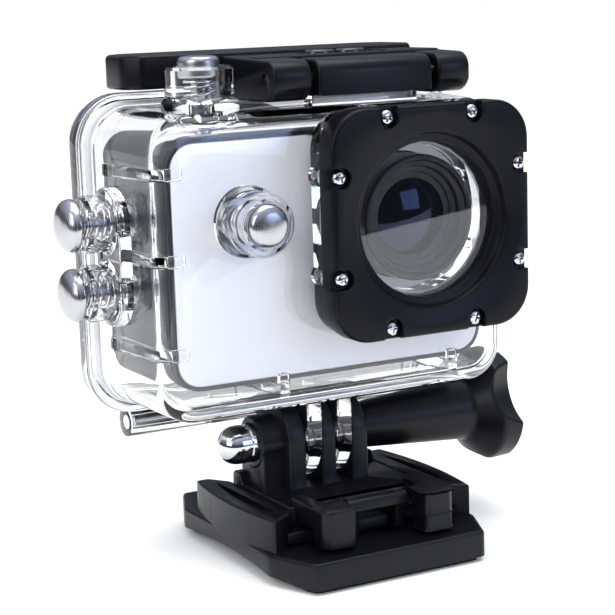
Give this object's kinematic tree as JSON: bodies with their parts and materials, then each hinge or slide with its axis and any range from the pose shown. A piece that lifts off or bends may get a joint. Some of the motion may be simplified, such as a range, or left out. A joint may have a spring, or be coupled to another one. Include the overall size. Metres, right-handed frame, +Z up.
{
  "type": "action camera",
  "caption": "Compact action camera in a clear waterproof case with a square lens bezel, top latch, hinged back door, tilting clamp, quick-release buckle and curved adhesive mount.",
  "frame": {"origin": "middle of the footprint, on the surface the mount stands on", "axes": "+Z up; the lens looks along -Y; +X is to the right of a person who faces the lens"},
  "size_m": [0.08, 0.051, 0.0835],
  "materials": {
    "clear_polycarbonate": "clear moulded polycarbonate, polished",
    "port_glass": "flat coated glass",
    "black_bezel": "satin black anodised look",
    "black_latch": "satin black moulding",
    "black_nylon": "fine-grained black nylon",
    "white_plastic": "satin white paint with a cool tint",
    "dark_grey_plastic": "matte dark grey",
    "bright_steel": "bright plated steel",
    "turned_steel": "face-turned stainless steel",
    "spring_wire": "bright spring wire",
    "black_rubber": "black nitrile rubber",
    "white_silicone": "translucent white silicone",
    "foam_tape": "black foam tape",
    "screen_glass": "dark display glass",
    "lens_black": "black anodised barrel",
    "lens_glass": "coated optical glass",
    "sensor": "image sensor",
    "circuit_board": "green solder mask",
    "black_card": "memory card",
    "battery_sleeve": "blue battery sleeve",
    "camera_button": "brushed metal button"
  },
  "bodies": {
    "base": {"base_mount": "black_nylon", "adhesive_pad": "foam_tape"},
    "buckle": {"quick_release_buckle": "black_nylon", "acorn_nut": "bright_steel"},
    "thumb_screw": {"thumb_screw_knob": "black_nylon", "thumb_screw_bolt": "bright_steel"},
    "housing": {"front_shell": "clear_polycarbonate", "lens_bezel": "black_bezel", "bezel_screw_1": "bright_steel", "bezel_screw_2": "bright_steel", "bezel_screw_3": "bright_steel", "bezel_screw_4": "bright_steel", "bezel_screw_5": "bright_steel", "bezel_screw_6": "bright_steel", "bezel_screw_7": "bright_steel", "bezel_screw_8": "bright_steel", "port_glass": "port_glass", "port_gasket": "black_rubber", "door_hinge_pin": "bright_steel", "latch_hinge_block": "black_latch", "latch_pin": "bright_steel", "shutter_seal": "black_rubber", "power_seal": "black_rubber", "up_seal": "black_rubber", "down_seal": "black_rubber", "camera_body": "dark_grey_plastic", "camera_front_plate": "white_plastic", "camera_back_cover": "dark_grey_plastic", "camera_screen": "screen_glass", "lens_barrel": "lens_black", "lens_front_element": "lens_glass", "lens_rear_element": "lens_glass", "image_sensor": "sensor", "main_board": "circuit_board", "memory_card": "black_card", "battery": "battery_sleeve", "battery_door": "dark_grey_plastic"},
    "back_door": {"back_door": "clear_polycarbonate", "door_gasket": "white_silicone"},
    "latch": {"latch_lever": "black_latch"},
    "latch_lock": {"latch_lock": "black_latch"},
    "shutter_plunger": {"shutter_plunger": "turned_steel", "shutter_spring": "spring_wire", "shutter_clip": "spring_wire"},
    "power_plunger": {"power_plunger": "turned_steel", "power_spring": "spring_wire", "power_clip": "spring_wire"},
    "up_plunger": {"up_plunger": "turned_steel", "up_spring": "spring_wire", "up_clip": "spring_wire"},
    "down_plunger": {"down_plunger": "turned_steel", "down_spring": "spring_wire", "down_clip": "spring_wire"},
    "camera_shutter_button": {"camera_shutter_button": "camera_button"},
    "camera_power_button": {"camera_power_button": "camera_button"},
    "camera_up_button": {"camera_up_button": "camera_button"},
    "camera_down_button": {"camera_down_button": "camera_button"}
  },
  "joints": [
    {"name": "buckle_slide", "type": "slide", "parent": "base", "child": "buckle", "axis": [0, -1, 0], "range_m": [0, 0.045]},
    {"name": "housing_tilt", "type": "hinge", "parent": "buckle", "child": "housing", "pos_m": [0.0018, 0.00345, 0.0182], "axis": [1, 0, 0], "range_deg": [-15, 50]},
    {"name": "thumb_screw_turn", "type": "hinge", "parent": "buckle", "child": "thumb_screw", "pos_m": [0.0175, 0.00345, 0.0182], "axis": [1, 0, 0], "continuous": true},
    {"name": "door_swing", "type": "hinge", "parent": "housing", "child": "back_door", "pos_m": [0.0025, 0.01655, 0.0216], "axis": [-1, 0, 0], "range_deg": [0, 90]},
    {"name": "latch_lift", "type": "hinge", "parent": "housing", "child": "latch", "pos_m": [0.0115, -0.00205, 0.0792], "axis": [1, 0, 0], "range_deg": [0, 100]},
    {"name": "latch_lock_slide", "type": "slide", "parent": "latch", "child": "latch_lock", "axis": [1, 0, 0], "range_m": [0, 0.003]},
    {"name": "shutter_press", "type": "slide", "parent": "housing", "child": "shutter_plunger", "axis": [0, 0, -1], "range_m": [0, 0.0012], "stiffness_N_per_m": 600, "springref_m": -0.001, "deforming": ["shutter_spring"]},
    {"name": "power_press", "type": "slide", "parent": "housing", "child": "power_plunger", "axis": [0, 1, 0], "range_m": [0, 0.0012], "stiffness_N_per_m": 600, "springref_m": -0.001, "deforming": ["power_spring"]},
    {"name": "up_press", "type": "slide", "parent": "housing", "child": "up_plunger", "axis": [1, 0, 0], "range_m": [0, 0.0012], "stiffness_N_per_m": 600, "springref_m": -0.001, "deforming": ["up_spring"]},
    {"name": "down_press", "type": "slide", "parent": "housing", "child": "down_plunger", "axis": [1, 0, 0], "range_m": [0, 0.0012], "stiffness_N_per_m": 600, "springref_m": -0.001, "deforming": ["down_spring"]},
    {"name": "camera_shutter_press", "type": "slide", "parent": "housing", "child": "camera_shutter_button", "axis": [0, 0, -1], "range_m": [0, 0.00105], "stiffness_N_per_m": 200, "springref_m": -0.0005},
    {"name": "camera_power_press", "type": "slide", "parent": "housing", "child": "camera_power_button", "axis": [0, 1, 0], "range_m": [0, 0.00105], "stiffness_N_per_m": 200, "springref_m": -0.0005},
    {"name": "camera_up_press", "type": "slide", "parent": "housing", "child": "camera_up_button", "axis": [1, 0, 0], "range_m": [0, 0.00105], "stiffness_N_per_m": 200, "springref_m": -0.0005},
    {"name": "camera_down_press", "type": "slide", "parent": "housing", "child": "camera_down_button", "axis": [1, 0, 0], "range_m": [0, 0.00105], "stiffness_N_per_m": 200, "springref_m": -0.0005}
  ],
  "couplings": [
    {"joint": "camera_shutter_press", "follows": "shutter_press", "ratio": 0.85},
    {"joint": "camera_power_press", "follows": "power_press", "ratio": 0.85},
    {"joint": "camera_up_press", "follows": "up_press", "ratio": 0.85},
    {"joint": "camera_down_press", "follows": "down_press", "ratio": 0.85}
  ]
}
